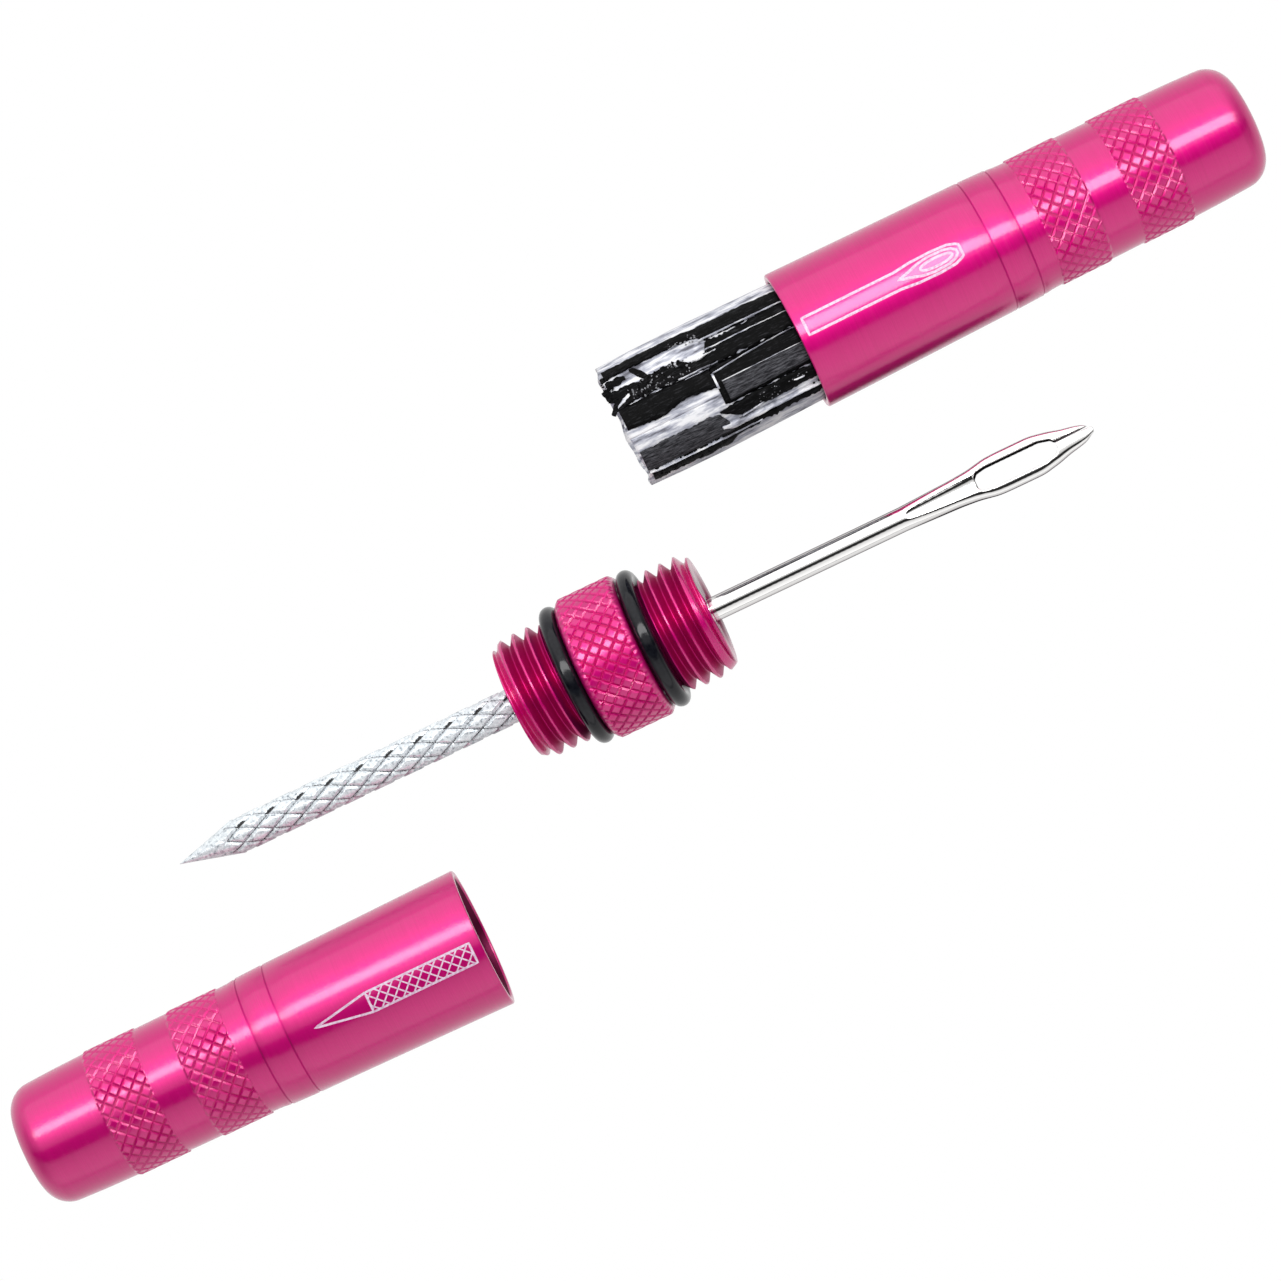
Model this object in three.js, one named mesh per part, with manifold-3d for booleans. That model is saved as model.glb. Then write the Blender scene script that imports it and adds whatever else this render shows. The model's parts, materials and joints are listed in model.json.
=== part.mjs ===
// Pocket tool for plugging a tubeless bicycle tyre: a double-ended turned hub with an insertion
// needle and a rasp, two screw caps, and the rolled sheet of rubber plug strips that one cap holds.
// It is laid out taken apart: the tool lies between its two caps on a flat surface at z = 0.
// Millimetres, +X along the tool towards the needle, +Z up.

import * as THREE from 'three';
import { mergeVertices } from 'three/addons/utils/BufferGeometryUtils.js';
import Module from 'manifold-3d';

const wasm = await Module();
wasm.setup();

const degrees = THREE.MathUtils.degToRad;

// Facets round the larger turned pieces, and steps in one turn of every thread.
const TURN_FACETS = 32;
const MERGE_DISTANCE = 1e-4;

// Hub: a collar cut from 16 mm bar, a ring groove on each side of it, and an M13.6 x 1.6 thread
// out to each end face.
const COLLAR_RADIUS = 8.0;
const COLLAR_HALF_WIDTH = 3.45;
const COLLAR_CHAMFER = 0.6;
const GROOVE_RADIUS = 5.8;
const THREAD_PITCH = 1.6;
const THREAD_CREST_RADIUS = 6.8;
const THREAD_ROOT_RADIUS = 5.75;
const THREAD_START = 5.5;
const THREAD_END = 11.35;
const THREAD_CHAMFER = 0.72;
const THREAD_EMBED = 0.15;
const RIDGE_FOOT_HALF_WIDTH = 0.47 * THREAD_PITCH;
const RIDGE_CREST_HALF_WIDTH = 0.07 * THREAD_PITCH;
const SOCKET_BOTTOM = 3.6;
const SOCKET_CLEARANCE = 0.15;
const SOCKET_COUNTERSINK = 0.25;
const SHANK_END = SOCKET_BOTTOM + 0.3;

// O-rings beside the collar.
const RING_CENTRE_RADIUS = 6.9;
const RING_SECTION_RADIUS = 0.92;
const RING_OFFSET = 4.48;
const RING_SECTION_FACETS = 8;

// Insertion needle: distance from the hub's middle, half width across the eye and half thickness.
const NEEDLE_RADIUS = 1.3;
const NEEDLE_STATIONS = [
  [33.5, 1.3, 1.3],
  [39.4, 1.5, 1.22],
  [41.6, 1.7, 1.12],
  [43.6, 2.1, 0.98],
  [45.0, 2.15, 0.95],
  [48.8, 2.15, 0.95],
  [50.9, 1.73, 0.9],
  [52.0, 1.39, 0.86],
  [53.8, 1.08, 0.72],
  [54.7, 0.8, 0.5],
  [55.3, 0.3, 0.22],
];
const NEEDLE_ROLL = -10;
const NEEDLE_FACETS = 24;
const EYE_START = 41.9;
const EYE_END = 51.2;
const EYE_HALF_WIDTH = 1.23;
const EYE_SHOULDER = 1.5;
const EYE_BACK_HALF_WIDTH = 0.58;
const EYE_FRONT_FULLNESS = 0.8;
const SLIT_WIDTH = 0.3;
const SLIT_OFFSET = 0.4;
const SLIT_OVERLAP = 1.0;
const FLUTE_START = 33.8;
const FLUTE_END = 42.4;
const FLUTE_FACETS = 12;
const FLUTE_HALF_WIDTH = 1.0;
const FLUTE_DEPTH = 0.6;

// Rasp.
const RASP_RADIUS = 1.9;
const RASP_TIP = 51.4;
const RASP_CONE_LENGTH = 6.9;
const RASP_FACETS = 24;

// Caps, measured from the mouth: [distance, radius] of the outside, with two raised knurl bands.
const CAP_LENGTH = 52.85;
const CAP_MOUTH_RADIUS = 7.7;
const CAP_END_CORNER = 2.9;
const CAP_END_RADIUS = 6.74;
const CAP_CORNER_STEPS = 5;
const CAP_OUTLINE = [
  [0.0, 7.55],
  [0.15, CAP_MOUTH_RADIUS],
  [22.3, 7.37],
  [25.7, 7.27],
  [26.4, 7.13],
  [27.7, 7.1],
  [27.9, 7.22],
  [33.5, 7.21],
  [33.7, 7.06],
  [37.3, 7.03],
  [37.5, 7.16],
  [43.2, 7.15],
  [43.4, 6.98],
];
const CAP_REST_FAR = [43.2, 7.15];
const CAP_REST_NEAR = [0.15, CAP_MOUTH_RADIUS];
const CAP_BORE_RADIUS = 6.35;
const CAP_BORE_DEPTH = 42.0;
const CAP_TIP_BORE_RADIUS = 5.2;
const CAP_TIP_BORE_DEPTH = 49.6;
const CAP_DRILL_POINT_DEPTH = 51.0;
const CAP_RELIEF_RADIUS = 6.95;
const CAP_RELIEF_DEPTH = 1.2;
const CAP_RIM_CHAMFER = 0.15;
const CAP_THREAD_TURNS = 4.5;
const CAP_THREAD_RADIUS = 6.95;
const CAP_THREAD_EMBED = 0.3;
const CAP_THREAD_ROOT_HALF_WIDTH = 0.1 * THREAD_PITCH;

// Plug roll, measured from the fork cap's mouth and round from the top towards +Y.
const ROLL_OUTSIDE = 20.3;
const ROLL_INSIDE = 20.7;
const FILM_RADIUS = 5.15;
const FILM_THICKNESS = 0.3;
const FILM_SEAM_ANGLE = 186;
const FILM_SEAM_HALF_GAP = 7;
const FILM_FACETS = 28;
const STRIP_INNER_RADIUS = 5.4;
const STRIP_OUTER_RADIUS = 6.1;
const STRIP_FACETS = 4;
// Each strip: [middle angle, angular width, distance of its free end from the mouth, inner end].
const STRIPS = [
  [49, 21, -20.0, 20.5],
  [24, 21, -20.0, 20.5],
  [0, 22, -20.0, -9.9],
  [-13, 19, -9.2, 20.4],
  [-33.5, 16, -9.4, 20.5],
  [-44.5, 25, -20.0, -10.2],
  [-70, 20, -19.8, 20.5],
  [-118, 18, -19.6, 20.3],
  [-140, 20, -20.1, 20.5],
  [-200, 18, -19.4, 20.2],
  [-220, 18, -20.0, 20.5],
  [-241, 20, -19.7, 20.4],
];

// Layout on the surface: mouths of the two caps from the middle of the hub, and headings.
const FORK_CAP_MOUTH = [31.45, 21.7];
const FORK_CAP_HEADING = 0.98;
const REAMER_CAP_MOUTH = [-25.15, -20.6];
const REAMER_CAP_HEADING = 180;

const anodised = new THREE.MeshStandardMaterial({ color: 0xd3177b, roughness: 0.3, metalness: 0.9 });
const chromed = new THREE.MeshStandardMaterial({ color: 0xe4e2de, roughness: 0.08, metalness: 1.0 });
const brightSteel = new THREE.MeshStandardMaterial({ color: 0xc9ccd0, roughness: 0.2, metalness: 1.0 });
const ringRubber = new THREE.MeshStandardMaterial({ color: 0x17181c, roughness: 0.45, metalness: 0.0 });
const plugRubber = new THREE.MeshStandardMaterial({ color: 0x202024, roughness: 0.6, metalness: 0.0 });
const filmPlastic = new THREE.MeshStandardMaterial({ color: 0xe6e6ea, roughness: 0.3, metalness: 0.0 });

// A closed three.js surface as a solid that can be cut and joined.
function solidOf(geometry) {
  const bare = geometry.clone();
  bare.deleteAttribute('normal');
  bare.deleteAttribute('uv');
  const merged = mergeVertices(bare, MERGE_DISTANCE);
  const corners = merged.index.array;
  const kept = [];
  for (let i = 0; i < corners.length; i += 3) {
    const [a, b, c] = [corners[i], corners[i + 1], corners[i + 2]];
    if (a !== b && b !== c && c !== a) {
      kept.push(a, b, c);
    }
  }
  const vertProperties = new Float32Array(merged.attributes.position.array);
  const triVerts = new Uint32Array(kept);
  return new wasm.Manifold(new wasm.Mesh({ numProp: 3, vertProperties, triVerts }));
}

function geometryOf(solid) {
  const mesh = solid.getMesh();
  const geometry = new THREE.BufferGeometry();
  geometry.setAttribute('position', new THREE.BufferAttribute(new Float32Array(mesh.vertProperties), 3));
  geometry.setIndex(new THREE.BufferAttribute(new Uint32Array(mesh.triVerts), 1));
  geometry.computeVertexNormals();
  return geometry;
}

function moveVertices(geometry, place) {
  const position = geometry.attributes.position;
  const point = new THREE.Vector3();
  for (let i = 0; i < position.count; i += 1) {
    point.fromBufferAttribute(position, i);
    place(point);
    position.setXYZ(i, point.x, point.y, point.z);
  }
  return geometry;
}

// A piece turned about the X axis from an outline of [x, radius] points with rising x.
function turned(outline, facets = TURN_FACETS) {
  const points = outline.map(([x, radius]) => new THREE.Vector2(radius, x));
  return new THREE.LatheGeometry(points, facets).rotateZ(-Math.PI / 2);
}

// A shape drawn across the X axis (its x to +Y, its y to +Z) and extruded along +X.
function extrudedAlongX(shape, start, end, curveSegments) {
  const options = { depth: end - start, bevelEnabled: false, curveSegments };
  const toX = new THREE.Matrix4().makeBasis(
    new THREE.Vector3(0, 1, 0),
    new THREE.Vector3(0, 0, 1),
    new THREE.Vector3(1, 0, 0),
  );
  return new THREE.ExtrudeGeometry(shape, options).applyMatrix4(toX).translate(start, 0, 0);
}

// A right-hand helical bar: a straight bar with a trapezium section, wound about the X axis.
function helicalBar({ startX, turns, innerRadius, outerRadius, innerHalfWidth, outerHalfWidth }) {
  const section = new THREE.Shape();
  section.moveTo(-innerHalfWidth, innerRadius);
  section.lineTo(innerHalfWidth, innerRadius);
  section.lineTo(outerHalfWidth, outerRadius);
  section.lineTo(-outerHalfWidth, outerRadius);
  section.closePath();
  const steps = Math.round(turns * TURN_FACETS);
  const bar = new THREE.ExtrudeGeometry(section, { depth: turns, steps, bevelEnabled: false });
  return moveVertices(bar, (point) => {
    const angle = point.z * 2 * Math.PI;
    const radius = point.y;
    point.x += startX + point.z * THREAD_PITCH;
    point.y = radius * Math.cos(angle);
    point.z = radius * Math.sin(angle);
  });
}

// The thread on one end of the hub, trimmed to its chamfered length.
function outsideThread(side) {
  const innerRadius = THREAD_ROOT_RADIUS - THREAD_EMBED;
  const floorRadius = innerRadius - THREAD_EMBED;
  const from = Math.min(side * THREAD_START, side * THREAD_END);
  const to = Math.max(side * THREAD_START, side * THREAD_END);
  const turns = Math.ceil((to - from) / THREAD_PITCH) + 1;
  const ridge = helicalBar({
    startX: from - THREAD_PITCH / 2,
    turns,
    innerRadius,
    outerRadius: THREAD_CREST_RADIUS,
    innerHalfWidth: RIDGE_FOOT_HALF_WIDTH,
    outerHalfWidth: RIDGE_CREST_HALF_WIDTH,
  });
  const envelope = turned([
    [from, floorRadius],
    [from, THREAD_CREST_RADIUS - THREAD_CHAMFER],
    [from + THREAD_CHAMFER, THREAD_CREST_RADIUS],
    [to - THREAD_CHAMFER, THREAD_CREST_RADIUS],
    [to, THREAD_CREST_RADIUS - THREAD_CHAMFER],
    [to, floorRadius],
    [from, floorRadius],
  ]);
  return solidOf(ridge).intersect(solidOf(envelope));
}

function hubGeometry() {
  const needleSocket = NEEDLE_RADIUS + SOCKET_CLEARANCE;
  const raspSocket = RASP_RADIUS + SOCKET_CLEARANCE;
  const collarEdge = COLLAR_HALF_WIDTH - COLLAR_CHAMFER;
  const body = turned([
    [-SOCKET_BOTTOM, 0],
    [-SOCKET_BOTTOM, raspSocket],
    [-THREAD_END + SOCKET_COUNTERSINK, raspSocket],
    [-THREAD_END, raspSocket + SOCKET_COUNTERSINK],
    [-THREAD_END, THREAD_ROOT_RADIUS],
    [-THREAD_START, THREAD_ROOT_RADIUS],
    [-THREAD_START, GROOVE_RADIUS],
    [-COLLAR_HALF_WIDTH, GROOVE_RADIUS],
    [-COLLAR_HALF_WIDTH, COLLAR_RADIUS - COLLAR_CHAMFER],
    [-collarEdge, COLLAR_RADIUS],
    [collarEdge, COLLAR_RADIUS],
    [COLLAR_HALF_WIDTH, COLLAR_RADIUS - COLLAR_CHAMFER],
    [COLLAR_HALF_WIDTH, GROOVE_RADIUS],
    [THREAD_START, GROOVE_RADIUS],
    [THREAD_START, THREAD_ROOT_RADIUS],
    [THREAD_END, THREAD_ROOT_RADIUS],
    [THREAD_END, needleSocket + SOCKET_COUNTERSINK],
    [THREAD_END - SOCKET_COUNTERSINK, needleSocket],
    [SOCKET_BOTTOM, needleSocket],
    [SOCKET_BOTTOM, 0],
  ]);
  return geometryOf(solidOf(body).add(outsideThread(-1)).add(outsideThread(1)));
}

function ringGeometry() {
  const torus = new THREE.TorusGeometry(
    RING_CENTRE_RADIUS,
    RING_SECTION_RADIUS,
    RING_SECTION_FACETS,
    TURN_FACETS,
  );
  return torus.rotateY(Math.PI / 2);
}

// Half thickness of the needle at a distance along it, as a share of its half width there.
function needleFlatness(x) {
  if (x <= NEEDLE_STATIONS[0][0]) {
    return 1;
  }
  for (let i = 1; i < NEEDLE_STATIONS.length; i += 1) {
    const [nearX, nearWidth, nearThickness] = NEEDLE_STATIONS[i - 1];
    const [farX, farWidth, farThickness] = NEEDLE_STATIONS[i];
    if (x <= farX) {
      const share = (x - nearX) / (farX - nearX);
      return THREE.MathUtils.lerp(nearThickness / nearWidth, farThickness / farWidth, share);
    }
  }
  const [, lastWidth, lastThickness] = NEEDLE_STATIONS.at(-1);
  return lastThickness / lastWidth;
}

function eyeOutline() {
  const eye = new THREE.Shape();
  const bulge = EYE_HALF_WIDTH * EYE_FRONT_FULLNESS;
  eye.moveTo(EYE_START, -EYE_BACK_HALF_WIDTH);
  eye.quadraticCurveTo(EYE_START, -EYE_HALF_WIDTH, EYE_START + EYE_SHOULDER, -EYE_HALF_WIDTH);
  eye.lineTo(EYE_END - EYE_SHOULDER, -EYE_HALF_WIDTH);
  eye.quadraticCurveTo(EYE_END, -bulge, EYE_END, 0);
  eye.quadraticCurveTo(EYE_END, bulge, EYE_END - EYE_SHOULDER, EYE_HALF_WIDTH);
  eye.lineTo(EYE_START + EYE_SHOULDER, EYE_HALF_WIDTH);
  eye.quadraticCurveTo(EYE_START, EYE_HALF_WIDTH, EYE_START, EYE_BACK_HALF_WIDTH);
  eye.closePath();
  return eye;
}

function needleGeometry() {
  const outline = [[SHANK_END, 0], [SHANK_END, NEEDLE_RADIUS]];
  for (const [x, halfWidth] of NEEDLE_STATIONS) {
    outline.push([x, halfWidth]);
  }
  outline.push([NEEDLE_STATIONS.at(-1)[0], 0]);
  const blank = moveVertices(turned(outline, NEEDLE_FACETS), (point) => {
    point.z *= needleFlatness(point.x);
  });
  const through = 2 * NEEDLE_RADIUS;
  const eye = new THREE.ExtrudeGeometry(eyeOutline(), {
    depth: 2 * through,
    bevelEnabled: false,
    curveSegments: 4,
  });
  eye.translate(0, 0, -through);
  const slitStart = EYE_END - SLIT_OVERLAP;
  const slitLength = NEEDLE_STATIONS.at(-1)[0] - slitStart + SLIT_OVERLAP;
  const slit = new THREE.BoxGeometry(slitLength, SLIT_WIDTH, 2 * through);
  slit.translate(slitStart + slitLength / 2, SLIT_OFFSET, 0);
  let needle = solidOf(blank).subtract(solidOf(eye)).subtract(solidOf(slit));
  for (const side of [-1, 1]) {
    const outside = [[FLUTE_START, 0], [FLUTE_END, FLUTE_HALF_WIDTH], [FLUTE_END, 0]];
    const cone = turned(outside, FLUTE_FACETS);
    const flute = moveVertices(cone, (point) => {
      point.z = point.z * FLUTE_DEPTH / FLUTE_HALF_WIDTH + side * NEEDLE_RADIUS;
    });
    needle = needle.subtract(solidOf(flute));
  }
  return geometryOf(needle);
}

function raspGeometry() {
  return turned([
    [-RASP_TIP, 0],
    [-RASP_TIP + RASP_CONE_LENGTH, RASP_RADIUS],
    [-SHANK_END, RASP_RADIUS],
    [-SHANK_END, 0],
  ], RASP_FACETS);
}

function capGeometry() {
  const outline = [
    [CAP_DRILL_POINT_DEPTH, 0],
    [CAP_TIP_BORE_DEPTH, CAP_TIP_BORE_RADIUS],
    [CAP_BORE_DEPTH, CAP_TIP_BORE_RADIUS],
    [CAP_BORE_DEPTH, CAP_BORE_RADIUS],
    [CAP_RELIEF_DEPTH, CAP_BORE_RADIUS],
    [CAP_RELIEF_DEPTH, CAP_RELIEF_RADIUS],
    [CAP_RIM_CHAMFER, CAP_RELIEF_RADIUS],
    [0, CAP_RELIEF_RADIUS + CAP_RIM_CHAMFER],
    ...CAP_OUTLINE,
  ];
  for (let i = 0; i <= CAP_CORNER_STEPS; i += 1) {
    const angle = (i / CAP_CORNER_STEPS) * Math.PI / 2;
    const x = CAP_LENGTH - CAP_END_CORNER + CAP_END_CORNER * Math.sin(angle);
    const radius = CAP_END_RADIUS - CAP_END_CORNER + CAP_END_CORNER * Math.cos(angle);
    outline.push([x, radius]);
  }
  outline.push([CAP_LENGTH, 0]);
  const thread = helicalBar({
    startX: CAP_RELIEF_DEPTH - THREAD_PITCH / 2,
    turns: CAP_THREAD_TURNS,
    innerRadius: CAP_BORE_RADIUS - CAP_THREAD_EMBED,
    outerRadius: CAP_THREAD_RADIUS,
    innerHalfWidth: RIDGE_FOOT_HALF_WIDTH,
    outerHalfWidth: CAP_THREAD_ROOT_HALF_WIDTH,
  });
  return geometryOf(solidOf(turned(outline)).subtract(solidOf(thread)));
}

// A stretch of tube wall between two angles, measured from the top towards +Y.
function tubeWall({ from, to, innerRadius, outerRadius, start, end, curveSegments }) {
  const first = degrees(90 - to);
  const last = degrees(90 - from);
  const wall = new THREE.Shape();
  wall.absarc(0, 0, outerRadius, first, last, false);
  wall.absarc(0, 0, innerRadius, last, first, true);
  wall.closePath();
  return extrudedAlongX(wall, start, end, curveSegments);
}

function filmGeometry() {
  return tubeWall({
    from: FILM_SEAM_ANGLE - 360 + FILM_SEAM_HALF_GAP,
    to: FILM_SEAM_ANGLE - FILM_SEAM_HALF_GAP,
    innerRadius: FILM_RADIUS - FILM_THICKNESS,
    outerRadius: FILM_RADIUS,
    start: -ROLL_OUTSIDE,
    end: ROLL_INSIDE,
    curveSegments: FILM_FACETS,
  });
}

function stripGeometry([middle, width, start, end]) {
  return tubeWall({
    from: middle - width / 2,
    to: middle + width / 2,
    innerRadius: STRIP_INNER_RADIUS,
    outerRadius: STRIP_OUTER_RADIUS,
    start,
    end,
    curveSegments: STRIP_FACETS,
  });
}

function named(name, geometry, material) {
  const mesh = new THREE.Mesh(geometry, material);
  mesh.name = name;
  return mesh;
}

// The tool lies on the collar's edge and the O-ring on the rasp side, the heavier end.
function tool() {
  const group = new THREE.Group();
  const collarEdge = COLLAR_HALF_WIDTH - COLLAR_CHAMFER;
  const between = new THREE.Vector2(RING_OFFSET - collarEdge, COLLAR_RADIUS - RING_CENTRE_RADIUS);
  const tilt = between.angle() - Math.asin(RING_SECTION_RADIUS / between.length());
  const axisHeight = COLLAR_RADIUS * Math.cos(tilt) + collarEdge * Math.sin(tilt);
  group.rotation.y = -tilt;
  group.position.z = axisHeight;
  group.add(named('hub', hubGeometry(), anodised));
  const needle = named('fork_needle', needleGeometry(), chromed);
  needle.rotation.x = degrees(NEEDLE_ROLL);
  group.add(needle);
  group.add(named('reamer_rasp', raspGeometry(), brightSteel));
  for (const [name, side] of [['o_ring_fork_side', 1], ['o_ring_reamer_side', -1]]) {
    const ring = named(name, ringGeometry(), ringRubber);
    ring.position.x = side * RING_OFFSET;
    group.add(ring);
  }
  return group;
}

// A cap lies on its mouth edge and on its second knurl band; its own +X runs to the closed end.
function capPlace([mouthX, mouthY], heading) {
  const group = new THREE.Group();
  const [nearX, nearRadius] = CAP_REST_NEAR;
  const [farX, farRadius] = CAP_REST_FAR;
  const tilt = Math.atan2(nearRadius - farRadius, farX - nearX);
  const height = nearRadius * Math.cos(tilt) + nearX * Math.sin(tilt);
  group.rotation.set(0, tilt, degrees(heading), 'ZYX');
  group.position.set(mouthX, mouthY, height);
  return group;
}

function forkCap() {
  const group = capPlace(FORK_CAP_MOUTH, FORK_CAP_HEADING);
  group.add(named('fork_cap', capGeometry(), anodised));
  group.add(named('backing_film', filmGeometry(), filmPlastic));
  STRIPS.forEach((strip, i) => {
    const name = `plug_strip_${String(i + 1).padStart(2, '0')}`;
    group.add(named(name, stripGeometry(strip), plugRubber));
  });
  return group;
}

function reamerCap() {
  const group = capPlace(REAMER_CAP_MOUTH, REAMER_CAP_HEADING);
  group.add(named('reamer_cap', capGeometry(), anodised));
  return group;
}

// The whole layout stands with its middle over the origin.
function layout() {
  const set = new THREE.Group();
  set.add(tool(), forkCap(), reamerCap());
  set.updateMatrixWorld(true);
  const box = new THREE.Box3().setFromObject(set, true);
  const middle = box.getCenter(new THREE.Vector3());
  set.position.set(-middle.x, -middle.y, -box.min.z);
  const group = new THREE.Group();
  group.add(set);
  return group;
}

export default layout();
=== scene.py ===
"""Looks of the tyre plug insertion tool: fine surfaces, materials, light and camera, around the CAD frame."""
import json
import math
import random

import bmesh
import bpy
import numpy as np
from mathutils import Matrix, Vector


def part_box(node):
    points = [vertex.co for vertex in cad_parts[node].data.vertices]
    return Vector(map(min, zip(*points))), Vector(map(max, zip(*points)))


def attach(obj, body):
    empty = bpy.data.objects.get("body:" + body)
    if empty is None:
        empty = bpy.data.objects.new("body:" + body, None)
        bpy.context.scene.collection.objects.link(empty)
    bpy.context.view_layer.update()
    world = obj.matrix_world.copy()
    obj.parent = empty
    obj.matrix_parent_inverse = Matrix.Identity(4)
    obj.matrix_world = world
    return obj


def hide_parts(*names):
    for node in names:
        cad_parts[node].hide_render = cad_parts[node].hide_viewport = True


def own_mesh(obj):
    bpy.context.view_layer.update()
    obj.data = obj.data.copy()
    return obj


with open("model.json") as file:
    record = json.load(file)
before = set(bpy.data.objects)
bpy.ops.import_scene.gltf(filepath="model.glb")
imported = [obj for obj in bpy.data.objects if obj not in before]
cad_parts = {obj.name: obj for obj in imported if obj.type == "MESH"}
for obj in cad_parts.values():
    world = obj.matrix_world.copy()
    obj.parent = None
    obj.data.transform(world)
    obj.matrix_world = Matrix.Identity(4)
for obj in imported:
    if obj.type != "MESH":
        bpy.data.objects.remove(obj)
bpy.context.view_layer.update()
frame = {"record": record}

MM = 0.001
TAU = 2 * math.pi

# ---------- places, all taken from the frame

CAP_LENGTH = 52.85


class Place:
    """A turned piece's own axes: x along it, y level, z up; lengths in millimetres."""

    def __init__(self, origin, axis, roll=0.0):
        self.origin = Vector(origin)
        self.x = Vector(axis).normalized()
        level = Vector((0, 0, 1)).cross(self.x).normalized()
        turn = Matrix.Rotation(roll, 3, self.x)
        self.y = turn @ level
        self.z = self.x.cross(self.y)

    def points(self, local):
        """Local millimetre points (an array with a last axis of 3) as row-frame metres."""
        local = np.asarray(local, float) * MM
        basis = np.array([self.x, self.y, self.z])
        return local @ basis + np.array(self.origin)


def middle_of(node):
    low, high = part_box(node)
    return (low + high) / 2


def cap_place(mount_name):
    mount = next(m for m in frame["record"]["mounts"] if m["name"] == mount_name)
    axis = Vector(mount["axis"]).normalized()
    return Place(Vector(mount["pos_m"]) - axis * CAP_LENGTH * MM, axis)


ring_fork = middle_of("o_ring_fork_side")
ring_reamer = middle_of("o_ring_reamer_side")
tool = Place((ring_fork + ring_reamer) / 2, ring_fork - ring_reamer)
fork_cap = cap_place("fork_cap_end")
reamer_cap = cap_place("reamer_cap_end")

# ---------- mesh helpers


def mesh_object(name, points, faces, uvs=None, smooth=True):
    mesh = bpy.data.meshes.new(name)
    mesh.from_pydata([tuple(p) for p in points], [], faces)
    if uvs is not None:
        layer = mesh.uv_layers.new(name="UVMap")
        layer.data.foreach_set("uv", np.asarray(uvs, np.float32).ravel())
    flags = np.full(len(mesh.polygons), smooth) if isinstance(smooth, bool) else np.asarray(smooth, bool)
    mesh.polygons.foreach_set("use_smooth", flags)
    mesh.validate()
    obj = bpy.data.objects.new(name, mesh)
    bpy.context.scene.collection.objects.link(obj)
    return obj


def turned_object(name, place, stations, columns, relief=None, flat=None):
    """A surface turned about place.x. stations are (x, radius) from one end of the axis to the other, and
    relief(x, radius, angles) gives the radii round each station. Angles run from the top towards +y."""
    angles = np.arange(columns) * TAU / columns
    rings = []
    for x, radius in stations:
        radii = relief(x, radius, angles) if relief else np.full(columns, radius)
        ring = np.stack([np.full(columns, x), radii * np.sin(angles), radii * np.cos(angles)], 1)
        rings.append(ring)
    local = np.concatenate(rings + [[[stations[0][0], 0, 0]], [[stations[-1][0], 0, 0]]])
    count = len(stations)
    faces, uvs, smooth = [], [], []
    along = [x / 10 for x, radius in stations]
    for i in range(count - 1):
        for j in range(columns):
            k = (j + 1) % columns
            faces.append((i * columns + j, i * columns + k, (i + 1) * columns + k, (i + 1) * columns + j))
            u, v = j / columns, (j + 1) / columns
            uvs += [(u, along[i]), (v, along[i]), (v, along[i + 1]), (u, along[i + 1])]
            smooth.append(not (flat and flat(stations[i][0], stations[i][1])))
    for ring, centre, order in ((0, count * columns, 1), (count - 1, count * columns + 1, -1)):
        for j in range(columns):
            k = (j + 1) % columns
            corners = (ring * columns + j, centre, ring * columns + k)
            faces.append(corners[::order])
            place_uv = [(j / columns, along[ring]), (j / columns, along[ring]), (k / columns, along[ring])]
            uvs += place_uv[::order]
            smooth.append(True)
    obj = mesh_object(name, place.points(local), faces, uvs, smooth)
    face_outwards(obj)
    return obj


def paint_faces(obj, material, chosen):
    """Give another material to the faces whose middle (in the row frame) is chosen."""
    obj.data.materials.append(material)
    index = len(obj.data.materials) - 1
    for polygon in obj.data.polygons:
        if chosen(polygon.center):
            polygon.material_index = index


def along_and_out(place, point):
    """Distance along a place's axis and radius from it, in millimetres."""
    away = Vector(point) - place.origin
    along = away.dot(place.x)
    return along / MM, (away - place.x * along).length / MM


def face_outwards(obj):
    cleaned = bmesh.new()
    cleaned.from_mesh(obj.data)
    bmesh.ops.recalc_face_normals(cleaned, faces=cleaned.faces)
    cleaned.to_mesh(obj.data)
    cleaned.free()


def stretch(start, end, step):
    """Points between two (x, radius) corners, the last left out."""
    length = math.dist(start, end)
    count = max(1, round(length / step))
    return [tuple(np.array(start) + (np.array(end) - np.array(start)) * i / count) for i in range(count)]


def path(corners, step):
    points = []
    for start, end in zip(corners, corners[1:]):
        points += stretch(start, end, step)
    return points + [tuple(corners[-1])]


def ridge(value):
    """0 on every whole number and 1 half way between, in straight slopes."""
    return 1 - np.abs(2 * (value % 1) - 1)


def finish_piece(obj, body, slot, material, *nodes):
    obj.data.materials.append(material)
    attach(obj, body)
    if nodes:
        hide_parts(*nodes)
    return obj


# ---------- materials

# How much a grain seen only close up stretches the piece's own coordinates, in metres.
FINE_GRAIN = (900, 900, 900)


def new_material(name):
    material = bpy.data.materials.new(name)
    material.use_nodes = True
    nodes = material.node_tree.nodes
    return material, nodes, material.node_tree.links, nodes["Principled BSDF"]


def pattern(nodes, links, coordinates, stretched, scale, detail=3.0, roughness=0.5):
    """Noise over a piece's own "Object" (metres) or "UV" coordinates, multiplied by stretched first."""
    mapping = nodes.new("ShaderNodeMapping")
    mapping.inputs["Scale"].default_value = stretched
    links.new(nodes.new("ShaderNodeTexCoord").outputs[coordinates], mapping.inputs["Vector"])
    noise = nodes.new("ShaderNodeTexNoise")
    noise.inputs["Scale"].default_value = scale
    noise.inputs["Detail"].default_value = detail
    noise.inputs["Roughness"].default_value = roughness
    links.new(mapping.outputs["Vector"], noise.inputs["Vector"])
    return noise.outputs["Fac"]


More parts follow.
